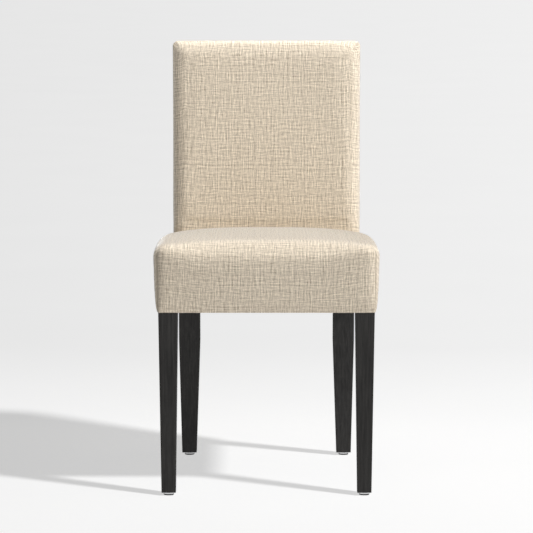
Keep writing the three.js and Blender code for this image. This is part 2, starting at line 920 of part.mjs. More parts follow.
function outsideBackOutline() {
  const top = backLength - outsideTopGap;
  const upper = new THREE.Vector3(0, 0, top).applyMatrix4(backFrame).z;
  const topHalf = backTopHalf - outsideInset;
  const x = topHalf - outsideCorner;
  const z = upper - outsideCorner;
  const round = [outsideCorner, outsideCorner];
  const corners = [
    ...quarter(x, z, round, 0, seatSteps.corner),
    ...quarter(-x, z, round, Math.PI / 2, seatSteps.corner),
  ];
  const low = [[-outsideHalf, seatBottom], [outsideHalf, seatBottom]];
  const points = [...low, ...corners.map((p) => [p.x, p.y])];
  const standUp = new THREE.Matrix4().makeRotationX(Math.PI / 2);
  return prism(points, -farOut, 2 * farOut).applyMatrix4(standUp);
}

function outsideBackCover() {
  const top = backLength + overrun;
  const sheet = rearSheet(outsideWrap, fabric, seatBottom, top, backTopHalf);
  const hemFront = postRearY - outsideHem;
  const hem = box(
    [-postInnerX + fit, postInnerX - fit],
    [hemFront, postRearY + outsideWrap + fabric / 2],
    [seatBottom, seatBottom + fabric],
  );
  return common(joined(sheet, hem), outsideBackOutline());
}

add('outside_back_cover', outsideBackCover(), linen);

// Origin at the middle of the footprint, on the floor
const bounds = new THREE.Box3().setFromObject(chair);
const centre = bounds.getCenter(new THREE.Vector3());
chair.position.set(-centre.x, -centre.y, -bounds.min.z);

const group = new THREE.Group();
group.add(chair);

export default group;
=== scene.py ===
"""Parsons side chair: cloth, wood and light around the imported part, in metres."""

import json
import math

import bmesh
import bpy
import numpy as np
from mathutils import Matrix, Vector


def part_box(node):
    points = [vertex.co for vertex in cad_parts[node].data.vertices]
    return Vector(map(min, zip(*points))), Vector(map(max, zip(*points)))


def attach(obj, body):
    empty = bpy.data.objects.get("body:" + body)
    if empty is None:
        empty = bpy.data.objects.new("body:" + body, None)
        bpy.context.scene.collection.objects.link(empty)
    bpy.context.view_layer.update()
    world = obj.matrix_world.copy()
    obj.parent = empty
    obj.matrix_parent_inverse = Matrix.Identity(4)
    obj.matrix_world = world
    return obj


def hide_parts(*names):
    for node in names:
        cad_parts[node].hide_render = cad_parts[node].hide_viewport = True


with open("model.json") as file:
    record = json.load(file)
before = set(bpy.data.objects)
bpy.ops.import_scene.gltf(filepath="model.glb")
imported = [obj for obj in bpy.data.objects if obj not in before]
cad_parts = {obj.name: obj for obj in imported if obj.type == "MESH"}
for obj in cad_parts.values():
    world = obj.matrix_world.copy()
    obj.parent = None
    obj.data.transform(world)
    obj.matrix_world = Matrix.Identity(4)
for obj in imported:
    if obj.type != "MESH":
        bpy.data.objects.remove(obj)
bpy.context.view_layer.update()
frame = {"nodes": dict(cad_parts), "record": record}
nodes = frame["nodes"]
scene = bpy.context.scene

# Sizes of the frame in millimetres: y from the front legs' front face, z from the floor
MM = 0.001
FRONT_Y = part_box("front_leg_right")[0].y / MM
LEG_X = 220.8
LEG_SIZE = 40.2
POST_INNER_X = 144.2
POST_FRONT = 441.0
POST_DEPTH = 38.0
POST_TOP_DEPTH = 27.0
POST_LENGTH = 445.0
POST_REAR = POST_FRONT + POST_DEPTH
RAIL_TOP = 451.5
LEAN = math.radians(11.5)
BOTTOM = 379.0
CLOTH = 1.2

# Seat cover: width, height and depth at its widest, and the rounds of its top edges
SEAT_SKIN = 1.7
SEAT_SWELL = 8.5
SEAT_REAR_SWELL = 3.6
SEAT_SLIM = 3.5
SEAT_WIDEST = 491.0
SEAT_WIDEST_DROP = 17.0
SEAT_SHOULDER = 519.0
SEAT_DROP = 14.0
SEAT_SIDE_DROP = 9.0
SEAT_DROP_POWER = 1.8
SEAT_SIDE_DROP_POWER = 4
SEAT_DROP_START = 60.0
SEAT_DROP_END = 414.7
SEAT_CROWN = 5.5
SEAT_CROWN_RUN = 150.0
SEAT_CROWN_POWER = 2.6
SEAT_ROUND_X = 32.0
SEAT_ROUND_FRONT = 46.0
SEAT_ROUND_REAR = 22.0
SEAT_CORNER = 28.0
SEAT_CORNER_GAIN = 3.3
SEAT_CORNER_LOSS = 4
SEAT_CORNER_LEAST = 0.4
SEAT_REAR_CORNER = (14.0, 10.0)
SEAT_TUCK = 5.0
SEAT_TUCK_RUN = 5.0
SEAT_TUCK_SIDE = 12
SEAT_HEM_REACH = 26
SEAT_HEM_RISE = 0.9
POST_SLOT_X = 191
HEM = ((0.3, 0.3), (1.0, 0.0), (6.0, 0.0), (13.0, 0.0), (22.0, 0.0))
EDGE_POWER = 0.8
SOFT_WIDEST = 478.0
SOFT_ROUND = 60.0
SOFT_POWER = 1.0
SOFT_CROWN_RUN = 24.0
SOFT_START = 12.0
SOFT_RUN = 95.0
SWELL_POWER = 0.42
REAR_TUCK = 5
REAR_TUCK_START = 20
REAR_TUCK_RUN = 10

# Inside-back cover, drawn upright on the posts and leaned with them
BACK_PADDING = 27.5
BACK_LENGTH = 464.7
BACK_HALF = (201.0, 204.5)
BACK_ROUND_X = 26.0
BACK_ROUND_FRONT = 22.0
BACK_TOP_ROUND = 34.0
BACK_TOP_DEPTH = 15.0
BACK_REAR_ROUND = (6.0, 15.0)
BACK_REAR_DEPTH = (6.0, 8.0)
BACK_BOTTOM = 9.6
BACK_HOLLOW = 4.0
BACK_CORNER = 11.0
FLANGE = 12.0
WRAP = 1.8
BACK_IN_SEAT = 6

# Outside-back cover
OUTSIDE_HALF = (197.0, 200.5)
OUTSIDE_TOP = 455.7
OUTSIDE_WRAP = 3.3
OUTSIDE_CORNER = 10.0
OUTSIDE_FOLD = 1.0
OUTSIDE_LAP = 4
OUTSIDE_UPRIGHT = 72
OUTSIDE_EDGE = ((0.0, 0.0), (0.0, 0.35), (0.3, 0.75), (0.8, 1.0))

SEAM_SPREAD = 2.4
SEAM_DEPTH = 1.3


def mix(a, b, t):
    return a + (b - a) * t


def smooth(t):
    t = np.clip(t, 0, 1)
    return t * t * (3 - 2 * t)


def placed(points):
    """Points of the drawing, in millimetres, as points of the frame, in metres."""
    return (np.asarray(points, float) + np.array([0, FRONT_Y, 0])) * MM


def leaned(points):
    """Points drawn upright on the posts, tipped back as the posts are."""
    p = np.asarray(points, float)
    c, s = math.cos(LEAN), math.sin(LEAN)
    y = p[..., 1] * c + p[..., 2] * s + POST_FRONT
    z = p[..., 2] * c - p[..., 1] * s + RAIL_TOP
    return np.stack([p[..., 0], y, z], -1)


def upright(points):
    """Points of the chair as they lie against the posts."""
    p = np.asarray(points, float)
    c, s = math.cos(LEAN), math.sin(LEAN)
    y, z = p[..., 1] - POST_FRONT, p[..., 2] - RAIL_TOP
    return np.stack([p[..., 0], y * c - z * s, y * s + z * c], -1)


# Camera
CAMERA_PITCH = math.radians(6.63)
CAMERA_HEIGHT = 1.262
CAMERA_DISTANCE = 6.779
FOCAL_PIXELS = 3357
PHOTO_PIXELS = 533
SENSOR = 36.0
CLIP_END = 300

camera = bpy.data.objects.new("camera", bpy.data.cameras.new("camera"))
scene.collection.objects.link(camera)
camera.data.sensor_width = SENSOR
camera.data.lens = FOCAL_PIXELS * SENSOR / PHOTO_PIXELS
camera.location = (0, FRONT_Y * MM - CAMERA_DISTANCE, CAMERA_HEIGHT)
camera.rotation_euler = (math.pi / 2 - CAMERA_PITCH, 0, 0)
camera.data.clip_end = CLIP_END
scene.camera = camera


# Covers as nets of points: a cap over the plan and walls down its sides
class Level:
    """One level of a cover in its plan: a rectangle, its corner radii and its height."""

    def __init__(self, low, high, radii, height):
        self.low, self.high, self.radii, self.height = low, high, radii, height


CORNERS = ((-1, -1), (1, -1), (1, 1), (-1, 1))


def corner_of(level, k):
    """The centre of a corner's round in plan, and its two radii."""
    k %= 4
    sign = np.array(CORNERS[k])
    edge = np.where(sign > 0, level.high, level.low)
    radius = np.array(level.radii[k], float)
    return edge - sign * radius, radius


def border(level, side, shares):
    """Plan points of a side from the middle of one corner to the middle of the next."""
    normal = (side - 1) * math.pi / 2
    n = np.array([math.cos(normal), math.sin(normal)])
    t = np.array([-n[1], n[0]])
    (c0, r0), (c1, r1) = corner_of(level, side), corner_of(level, side + 1)
    p0, p1 = c0 + r0 * n, c1 + r1 * n
    h0, h1 = r0.mean() * math.pi / 4, r1.mean() * math.pi / 4
    run = (p1 - p0) @ t
    s = shares * (h0 + run + h1)
    before = np.clip((h0 - s) / max(h0, 1e-9), 0, 1)
    after = np.clip((s - h0 - run) / max(h1, 1e-9), 0, 1)
    angle = normal + (after - before) * math.pi / 4
    ray = np.stack([np.cos(angle), np.sin(angle)], 1)
    straight = p0 + np.outer(s - h0, t)
    points = np.where(before[:, None] > 0, c0 + r0 * ray, straight)
    points = np.where(after[:, None] > 0, c1 + r1 * ray, points)
    return points, angle, p0 @ t + s - h0, n, t


def shares_of(length, near, fine, coarse):
    """Shares along a side, closer together near both of its corners."""
    start = [0, 1.5, 3.4]
    while start[-1] < near:
        start.append(start[-1] + fine)
    count = max(2, round((length - 2 * start[-1]) / coarse))
    middle = np.linspace(start[-1], length - start[-1], count + 1)[1:-1]
    return np.concatenate([start, middle, [length - v for v in start[::-1]]]) / length


def wall(levels, side, shares):
    """A side's rings in plan with their height, and the cloth's own coordinates on them."""
    rings, cloth = [], []
    depth = None
    for level in levels:
        flat, angle, along, n, t = border(level, side, shares)
        ring = np.column_stack([flat, level.height(flat[:, 0], flat[:, 1], np.sin(angle) ** 2)])
        if depth is None:
            depth = flat @ n
        else:
            step = ring - rings[-1]
            round_it = np.stack([-np.sin(angle), np.cos(angle), np.zeros(len(angle))], 1)
            step = step - (step * round_it).sum(1)[:, None] * round_it
            depth = depth + np.linalg.norm(step, axis=1)
        rings.append(ring)
        cloth.append(np.outer(along, t) + np.outer(depth, n))
    return np.array(rings), np.array(cloth)


def seam_beside(shares, length, ends):
    """1 on the corners named by ends, falling away within the seam's spread."""
    near = np.zeros(len(shares))
    for there, distance in zip(ends, (shares * length, (1 - shares) * length)):
        near = np.maximum(near, there * np.exp(-((distance / SEAM_SPREAD) ** 2)))
    return near


def mesh_object(name, grids):
    """An object whose grids of (points, cloth, seam, keep) are joined along their borders."""
    verts, faces, loops, seams = [], [], [], []
    for points, cloth, seam, keep in grids:
        rows, cols = points.shape[:2]
        index = np.arange(rows * cols).reshape(rows, cols)
        quads = np.stack([index[:-1, :-1], index[1:, :-1], index[1:, 1:], index[:-1, 1:]], -1)
        quads = quads.reshape(-1, 4)
        flat = points.reshape(-1, 3)
        quads = quads[keep(flat[quads].mean(1))] if keep else quads
        faces.extend((quads + len(verts)).tolist())
        verts.extend(placed(flat).tolist())
        loops.append((cloth.reshape(-1, 2) * MM)[quads.ravel()])
        seams.extend(seam.ravel())
    mesh = bpy.data.meshes.new(name)
    mesh.from_pydata(verts, [], faces)
    mesh.uv_layers.new(name="Cloth").data.foreach_set("uv", np.concatenate(loops).ravel())
    mesh.attributes.new("seam", "FLOAT", "POINT").data.foreach_set("value", np.array(seams))
    bm = bmesh.new()
    bm.from_mesh(mesh)
    bmesh.ops.remove_doubles(bm, verts=bm.verts, dist=3e-5)
    bmesh.ops.delete(bm, geom=[v for v in bm.verts if not v.link_faces], context="VERTS")
    bmesh.ops.recalc_face_normals(bm, faces=bm.faces)
    bm.to_mesh(mesh)
    bm.free()
    mesh.shade_smooth()
    obj = bpy.data.objects.new(name, mesh)
    scene.collection.objects.link(obj)
    return obj


def no_seam(points):
    return np.zeros(points.shape[:2])


# Seat cover
ACROSS = shares_of(2 * LEG_X, 34, 4, 7)
ALONG = shares_of(POST_REAR, 34, 4, 7)
EDGE_STEPS = 13
WALL_STEPS = 17


def back_front(x):
    """Where the back's front face stands from the posts' front, leaving out its edges."""
    return -BACK_PADDING - BACK_HOLLOW * (x / BACK_HALF[1]) ** 2


def seat_fall(y):
    """How far the seat has sunk towards its rear: 0 at the front, 1 at the back."""
    share = (y - SEAT_DROP_START) / (SEAT_DROP_END - SEAT_DROP_START)
    return np.clip(share, 0, None) ** SEAT_DROP_POWER


def seat_top(x, y, crown_run):
    """The height of the seat's top: crowned, sunk at the rear and tucked under the back."""
    aside = np.abs(x / LEG_X)
    drop = seat_fall(y) * (SEAT_DROP + SEAT_SIDE_DROP * aside ** SEAT_SIDE_DROP_POWER)
    crown = SEAT_CROWN * smooth(y / crown_run) * (1 - aside ** SEAT_CROWN_POWER)
    z = SEAT_SHOULDER - drop + crown
    against = upright(np.stack([x, y, z], -1))
    reach = (against[..., 1] - back_front(x) + SEAT_TUCK_RUN) / SEAT_TUCK_RUN
    beside = smooth((BACK_HALF[0] + 2 - np.abs(x)) / SEAT_TUCK_SIDE)
    return z - SEAT_TUCK * smooth(reach) * beside


def seat_level(rise, keep, inset, height, front_round=SEAT_ROUND_FRONT):
    """A level of the seat: swollen by rise, drawn in by its top round where keep is under 1."""
    out = SEAT_SKIN + SEAT_SWELL * rise
    corner = min(SEAT_CORNER, SEAT_CORNER_GAIN * out - SEAT_CORNER_LOSS)
    corner = max(corner - inset, SEAT_CORNER_LEAST) * keep
    rear = [max(r - inset, SEAT_CORNER_LEAST) * keep for r in SEAT_REAR_CORNER]
    x = LEG_X + out - inset - SEAT_ROUND_X * (1 - keep)
    y0 = inset - out + front_round * (1 - keep)
    y1 = POST_REAR + SEAT_SKIN + SEAT_REAR_SWELL * rise - inset - SEAT_ROUND_REAR * (1 - keep)
    front = (corner, corner)
    return Level((-x, y0), (x, y1), (front, front, rear, rear), height)


def seat_levels(widest, front_round, power, crown_run):
    """The seat's levels from its top down: the round edge, the wall and the hem below."""
    levels = []
    middle = lambda y: widest - SEAT_WIDEST_DROP * seat_fall(y)
    for n in range(EDGE_STEPS + 1):
        a = math.pi / 2 * (1 - n / EDGE_STEPS)
        keep = 0.0 if n == 0 else math.cos(a) ** power
        lift = math.sin(a) ** power
        top = lambda x, y, up, lift=lift: mix(middle(y), seat_top(x, y, crown_run), lift)
        levels.append((1.0, seat_level(1.0, keep, 0.0, top, front_round)))
    for n in range(1, WALL_STEPS + 1):
        share = 1 - n / WALL_STEPS
        rise = share ** SWELL_POWER
        side = lambda x, y, up, share=share: mix(BOTTOM + SEAT_HEM_RISE, middle(y), share)
        levels.append((rise, seat_level(rise, 1.0, 0.0, side)))
    for inset, z in HEM:
        flat = lambda x, y, up, z=z: x * 0 + BOTTOM + z
        levels.append((0.0, seat_level(0.0, 1.0, inset, flat)))
    return levels


def slimmed(points, rise):
    """The seat is a little narrower at its rear than at its front."""
    share = SEAT_SLIM / LEG_X * rise
    points = points.copy()
    points[..., 0] *= 1 - share * np.clip(points[..., 1] / POST_REAR, 0, None)
    return points


def tucked_rear(points):
    """The rear wall turns in under the outside back's edge."""
    points = points.copy()
    x, y = np.abs(points[..., 0]), points[..., 1]
    behind = smooth((OUTSIDE_HALF[0] + OUTSIDE_LAP - x) / 7)
    share = smooth((y - POST_FRONT - REAR_TUCK_START) / REAR_TUCK_RUN)
    points[..., 1] -= REAR_TUCK * behind * share
    return points


def inside_back_form(points, margin):
    """Whether the points lie inside the back's form, by the margin or more."""
    p = upright(points)
    x, y, z = np.abs(p[..., 0]), p[..., 1], p[..., 2]
    half = mix(BACK_HALF[0], BACK_HALF[1], z / BACK_LENGTH) - margin
    front = back_front(x) + margin
    dx = np.clip(x - (half - BACK_ROUND_X), 0, None) / BACK_ROUND_X
    dy = np.clip(front + BACK_ROUND_FRONT - y, 0, None) / BACK_ROUND_FRONT
    return (x < half) & (y > front) & (dx ** 2 + dy ** 2 < 1)


def seat_keeps(p):
    """Which faces stay: not those in the legs and posts, behind them or inside the back."""
    x, y, z = np.abs(p[:, 0]), p[:, 1], p[:, 2]
    low = z < BOTTOM + 0.2
    in_leg = (x > LEG_X - LEG_SIZE) & (y < LEG_SIZE)
    in_post = (x > POST_INNER_X) & (x < POST_SLOT_X) & (y > POST_FRONT)
    under_cover = x < OUTSIDE_HALF[0] - OUTSIDE_LAP
    behind = under_cover & (y > POST_REAR - SEAT_HEM_REACH) & (z < SEAT_SHOULDER)
    behind |= under_cover & (y > POST_REAR - 3)
    return ~(low & (in_leg | in_post)) & ~(behind & ~low) & ~inside_back_form(p, BACK_IN_SEAT)


def seat_nets(levels, crown_run):
    """The cap and the four walls of one form of the seat, as (points, cloth, seam) each."""
    rises = [rise for rise, _ in levels]
    shares = (ACROSS, ALONG, 1 - ACROSS[::-1], 1 - ALONG[::-1])
    walls = [wall([level for _, level in levels], side, shares[side]) for side in range(4)]
    x, y = np.meshgrid(walls[0][0][0][:, 0], walls[1][0][0][:, 1])
    cap = slimmed(np.dstack([x, y, seat_top(x, y, crown_run)]), 1.0)
    nets = [(cap, np.dstack([x, y]), no_seam(cap))]
    start = smooth((np.arange(len(levels)) - 2) / (EDGE_STEPS - 2))
    ends = ((1, 1), (1, 0), (0, 0), (0, 1))
    for side, (rings, cloth) in enumerate(walls):
        length = (2 * LEG_X, POST_REAR)[side % 2]
        seam = np.outer(start, seam_beside(shares[side], length, ends[side]))
        rings = np.array([slimmed(ring, rise) for ring, rise in zip(rings, rises)])
        nets.append((tucked_rear(rings), cloth, seam))
    return nets


def seat_grids():
    """The firm corners' form, going over to the softer front edge between them."""
    firm_run, soft_run = SEAT_CROWN_RUN, SOFT_CROWN_RUN
    firm = seat_nets(seat_levels(SEAT_WIDEST, SEAT_ROUND_FRONT, EDGE_POWER, firm_run), firm_run)
    soft = seat_nets(seat_levels(SOFT_WIDEST, SOFT_ROUND, SOFT_POWER, soft_run), soft_run)
    grids = []
    for (points, cloth, seam), (soft_points, soft_cloth, _) in zip(firm, soft):
        share = smooth((LEG_X - SOFT_START - np.abs(points[..., :1])) / SOFT_RUN)
        points, cloth = mix(points, soft_points, share), mix(cloth, soft_cloth, share)
        grids.append((points, cloth, seam, seat_keeps))
    return grids


# Inside-back cover, with the plan in x and z and the height in y
UPWARDS = shares_of(BACK_LENGTH - BACK_BOTTOM, 20, 3.5, 7)
BACK_ACROSS = shares_of(2 * BACK_HALF[1], 20, 3.5, 7)
BACK_EDGE_STEPS = 12


def back_level(kind, t):
    """A level of the back, at the share t of its round edge, wall, rear round or flange."""
    edge = math.pi / 2 * (t if kind == "edge" else 1)
    rear = math.pi / 2 * (t if kind == "rear" else kind == "flange")
    more = FLANGE * t if kind == "flange" else 0.0
    side = BACK_ROUND_X * (1 - math.sin(edge)) + BACK_REAR_ROUND[0] * (1 - math.cos(rear)) + more
    top = BACK_TOP_ROUND * (1 - math.sin(edge)) + BACK_REAR_ROUND[1] * (1 - math.cos(rear)) + more
    right = BACK_HALF[1] - side
    radius = BACK_CORNER * math.sin(edge) * (1 - 0.5 * (1 - math.cos(rear))) / (1 + more / 8)

    def height(x, z, up):
        front = mix(BACK_ROUND_FRONT, BACK_TOP_DEPTH, up) * (1 - math.cos(edge)) - BACK_PADDING
        front = front - BACK_HOLLOW * math.cos(edge) * (x / BACK_HALF[1]) ** 2
        last = mix(POST_DEPTH, POST_TOP_DEPTH, z / POST_LENGTH) + WRAP
        deep = mix(BACK_REAR_DEPTH[0], BACK_REAR_DEPTH[1], up)
        if kind == "edge":
            return front
        return mix(front, last - deep, t) if kind == "wall" else last - deep * (1 - math.sin(rear))

    return Level((-right, BACK_BOTTOM), (right, BACK_LENGTH - top),
                 ((0, 0), (0, 0), (radius, radius), (radius, radius)), height)


def back_levels():
    kinds = [("edge", n / BACK_EDGE_STEPS) for n in range(BACK_EDGE_STEPS + 1)]
    kinds += [("wall", n / 6) for n in range(1, 7)]
    kinds += [("rear", n / 5) for n in range(1, 6)]
    kinds += [("flange", n / 2) for n in (1, 2)]
    return [back_level(*kind) for kind in kinds]


def widened(points):
    """The back is a little narrower at the seat than at the top."""
    points = points.copy()
    points[..., 0] *= mix(BACK_HALF[0], BACK_HALF[1], points[..., 1] / BACK_LENGTH) / BACK_HALF[1]
    return leaned(points[..., [0, 2, 1]])


def back_grids():
    levels = back_levels()
    walls = {side: wall(levels, side, shares) for side, shares in
             ((1, UPWARDS), (2, 1 - BACK_ACROSS[::-1]), (3, 1 - UPWARDS[::-1]))}
    x, z = np.meshgrid(walls[2][0][0][::-1, 0], walls[1][0][0][:, 1])
    cap = np.dstack([x, z, back_front(x)])
    grids = [(widened(cap), np.stack([x, z], -1), no_seam(cap), None)]
    start = smooth((np.arange(len(levels)) - 3) / (BACK_EDGE_STEPS - 3))
    for side, (rings, cloth) in walls.items():
        shares = {1: UPWARDS, 2: BACK_ACROSS, 3: 1 - UPWARDS[::-1]}[side]
        length = BACK_LENGTH if side != 2 else 2 * BACK_HALF[1]
        ends = {1: (0, 1), 2: (1, 1), 3: (1, 0)}[side]
        seam = np.outer(start, seam_beside(shares, length, ends))
        grids.append((widened(rings), cloth, seam, None))
    return grids


seat = mesh_object("seat_cloth", seat_grids())
back = mesh_object("inside_back_cloth", back_grids())


# Outside-back cover: one taut sheet down the posts and the rear rail, its edges turned in
def outside_path(count):
    """Points from the seat's bottom edge to the top of the back, with the run along them."""
    level = POST_REAR + OUTSIDE_WRAP
    lower = [(level, z) for z in np.linspace(BOTTOM, RAIL_TOP - 12, 12)]
    heights = np.linspace(14, OUTSIDE_TOP, count)
    behind = mix(POST_DEPTH, POST_TOP_DEPTH, heights / POST_LENGTH) + OUTSIDE_WRAP
    upper = leaned(np.stack([heights * 0, behind, heights], 1))[:, 1:]
    first, last = np.array(lower[-1]), upper[0]
    middle = np.array([level, RAIL_TOP + 1])
    bend = [(1 - t) ** 2 * first + 2 * t * (1 - t) * middle + t * t * last
            for t in np.linspace(0, 1, 7)[1:-1]]
    path = np.array(lower + [tuple(p) for p in bend] + [tuple(p) for p in upper])
    run = np.concatenate([[0], np.cumsum(np.linalg.norm(np.diff(path, axis=0), axis=1))])
    return path, run


def outside_grids():
    """Rows across the outside back, each with its edges folded in towards the posts."""
    path, run = outside_path(64)
    total = run[-1]
    inner = np.linspace(0, 1, 52)[1:-1]
    rows, cloth = [], []
    top_rows = [(total - 0.8, 1.0), (total - 0.3, 0.75), (total, 0.35), (total, 0.0)]
    steps = [(s, 1.0) for s in run if s < total - 2] + top_rows
    for s, near in steps:
        y, z = np.interp(s, run, path[:, 0]), np.interp(s, run, path[:, 1])
        rise = max(s - OUTSIDE_UPRIGHT, 0) / (total - OUTSIDE_UPRIGHT)
        half = mix(OUTSIDE_HALF[0], OUTSIDE_HALF[1], rise)
        rounding = max(0.0, s - (total - OUTSIDE_CORNER)) / OUTSIDE_CORNER
        half -= OUTSIDE_CORNER * (1 - math.sqrt(max(0.0, 1 - rounding ** 2)))
        left = [(-half + inset, out) for inset, out in OUTSIDE_EDGE]
        right = [(half - inset, out) for inset, out in OUTSIDE_EDGE[::-1]]
        span = [(mix(left[-1][0], right[0][0], t), 1.0) for t in inner]
        line = left + span + right
        lean = LEAN * float(smooth((s - 55) / 30))
        c, sn = math.cos(lean), math.sin(lean)
        folds = [(x, OUTSIDE_FOLD * (min(out, near) - 1)) for x, out in line]
        rows.append([(x, y + fold * c, z - fold * sn) for x, fold in folds])
        cloth.append([(x, s) for x, _ in line])
    points = np.array(rows)
    return [(points, np.array(cloth), no_seam(points), None)]


outside = mesh_object("outside_back_cloth", outside_grids())

# Dust cover: a sheet under the rails, cut round the legs
DUST_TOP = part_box("dust_cover")[1] / MM
DUST_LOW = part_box("dust_cover")[0] / MM
DUST_Z = (DUST_LOW.z + DUST_TOP.z) / 2
DUST_LEG = 43.5
DUST_POST_GAP = 3
DUST_STEP = 7
DUST_SAG = 2.2
DUST_RIPPLE = 0.35
DUST_THICKNESS = 0.7
STAPLE_PITCH = 42.0
STAPLE_CROWN = 11.0
STAPLE_LEG = 2.0
STAPLE_BEND = 0.9
STAPLE_WIRE = (1.1, 0.5)
STAPLE_INSET_X = 9
STAPLE_INSET_Y = 8
STAPLE_FRONT_HALF = 170
STAPLE_REAR_HALF = 134
STAPLE_SIDE = (52, POST_REAR - 22)


def dust_cut(x, y):
    """Where the sheet is cut away round the four legs."""
    front = (np.abs(x) > LEG_X - DUST_LEG) & (y < DUST_LEG)
    rear = (np.abs(x) > POST_INNER_X - DUST_POST_GAP) & (y > POST_FRONT - DUST_POST_GAP)
    return front | rear


def dust_lines(low, high, cuts):
    """Even steps from low to high that stop at each cut."""
    stops = sorted([low, high, *cuts])
    out = [low]
    for a, b in zip(stops, stops[1:]):
        out.extend(np.linspace(a, b, max(1, round((b - a) / DUST_STEP)) + 1)[1:])
    return np.array(out)


def dust_grids():
    """The dust cover, sagging a little between the rails."""
    half, y0, y1 = DUST_TOP.x, DUST_LOW.y - FRONT_Y, DUST_TOP.y - FRONT_Y
    inner, post = LEG_X - DUST_LEG, POST_INNER_X - DUST_POST_GAP
    x = dust_lines(-half, half, (-inner, -post, post, inner))
    y = dust_lines(y0, y1, (DUST_LEG, POST_FRONT - DUST_POST_GAP))
    x, y = np.meshgrid(x, y)
    middle = (1 - (x / half) ** 2) * (1 - ((y - mix(y0, y1, 0.5)) / (y1 - y0) * 2) ** 2)
    ripple = np.sin(x / 19 + 3 * np.sin(y / 60)) * np.sin(y / 31 + 1)
    sag = DUST_SAG * np.clip(middle, 0, 1)
    z = DUST_Z - sag + DUST_RIPPLE * ripple * np.clip(middle * 3, 0, 1)
    points = np.dstack([x, y, z])
    keep = lambda p: ~dust_cut(p[:, 0], p[:, 1])
    return [(points, np.dstack([x, y]), no_seam(points), keep)]


dust = mesh_object("dust_cloth", dust_grids())


def staple_path():
    """Half the wire's height over its run: down one leg, round the bend and along the crown."""
    half, bend = STAPLE_CROWN / 2, STAPLE_BEND
    turn = np.linspace(0, math.pi / 2, 5)
    left = [(-half, STAPLE_LEG)]
    left += [(-half + bend * (1 - math.cos(a)), bend * (1 - math.sin(a))) for a in turn]
    right = [(-x, z) for x, z in left[::-1]]
    path = np.array(left + right)
    step = np.gradient(path, axis=0)
    step /= np.linalg.norm(step, axis=1, keepdims=True)
    return path, np.stack([-step[:, 1], step[:, 0]], 1)


def staple(bm, x, y, turned):
    """One bent wire with its crown on the cloth and its legs in the wood."""
    path, outward = staple_path()
    wide, thick = STAPLE_WIRE
    rings = []
    for (along, up), (ax, az) in zip(path, -outward):
        ring = []
        for across, out in ((-wide / 2, 0), (wide / 2, 0), (wide / 2, thick), (-wide / 2, thick)):
            px, pz = along + ax * out, up + az * out
            dx, dy = (across, px) if turned else (px, across)
            ring.append(bm.verts.new(placed([x + dx, y + dy, DUST_LOW.z + pz])))
        rings.append(ring)
    for one, two in zip(rings, rings[1:]):
        for n in range(4):
            bm.faces.new((one[n], one[(n + 1) % 4], two[(n + 1) % 4], two[n]))
    bm.faces.new(rings[0])
    bm.faces.new(rings[-1][::-1])


def staple_row(bm, start, end, turned):
    """Evenly spaced staples along a line."""
    start, end = np.array(start, float), np.array(end, float)
    count = max(1, int(np.linalg.norm(end - start) // STAPLE_PITCH))
    for n in range(count):
        x, y = mix(start, end, (n + 0.5) / count)
        staple(bm, x, y, turned)


def make_staples():
    """Staples along the four edges of the dust cover, as one piece."""
    bm = bmesh.new()
    side = DUST_TOP.x - STAPLE_INSET_X
    front, rear = DUST_LOW.y - FRONT_Y + STAPLE_INSET_Y, DUST_TOP.y - FRONT_Y - STAPLE_INSET_Y
    staple_row(bm, (-STAPLE_FRONT_HALF, front), (STAPLE_FRONT_HALF, front), False)
    staple_row(bm, (-STAPLE_REAR_HALF, rear), (STAPLE_REAR_HALF, rear), False)
    for sign in (-1, 1):
        staple_row(bm, (sign * side, STAPLE_SIDE[0]), (sign * side, STAPLE_SIDE[1]), True)
    bmesh.ops.recalc_face_normals(bm, faces=bm.faces)
    mesh = bpy.data.meshes.new("dust_cover_staples")
    bm.to_mesh(mesh)
    bm.free()
    obj = bpy.data.objects.new("dust_cover_staples", mesh)
    scene.collection.objects.link(obj)
    return obj


staples = make_staples()


# The cloth pulls itself smooth over its filling
SIM_FRAMES = 20
SIM_PRESSURE = 4.0
INWARD = 0.0005
SEAT_OUTWARD = 0.0022
BACK_OUTWARD = 0.0020
EASE_ROUNDS = 90


def coordinates(obj):
    """The mesh's points, in metres."""
    co = np.empty(len(obj.data.vertices) * 3)
    obj.data.vertices.foreach_get("co", co)
    return co.reshape(-1, 3)


def write_coordinates(obj, co):
    obj.data.vertices.foreach_set("co", co.ravel())
    obj.data.update()


def normals_of(obj):
    normals = np.empty(len(obj.data.vertices) * 3)
    obj.data.vertices.foreach_get("normal", normals)
    return normals.reshape(-1, 3)


def on_posts(obj):
    """The mesh's points in millimetres, upright against the posts."""
    return upright(coordinates(obj) / MM - np.array([0, FRONT_Y, 0]))


def eased(obj, weight, rounds):
    """The mesh with the weighted points drawn towards their neighbours."""
    ends = np.empty(len(obj.data.edges) * 2, int)
    obj.data.edges.foreach_get("vertices", ends)
    a, b = ends.reshape(-1, 2).T
    count = np.bincount(np.concatenate([a, b]), minlength=len(weight))[:, None]
    co = coordinates(obj)
    for _ in range(rounds):
        total = np.zeros_like(co)
        np.add.at(total, a, co[b])
        np.add.at(total, b, co[a])
        co += weight[:, None] * 0.5 * (total / count - co)
    write_coordinates(obj, co)


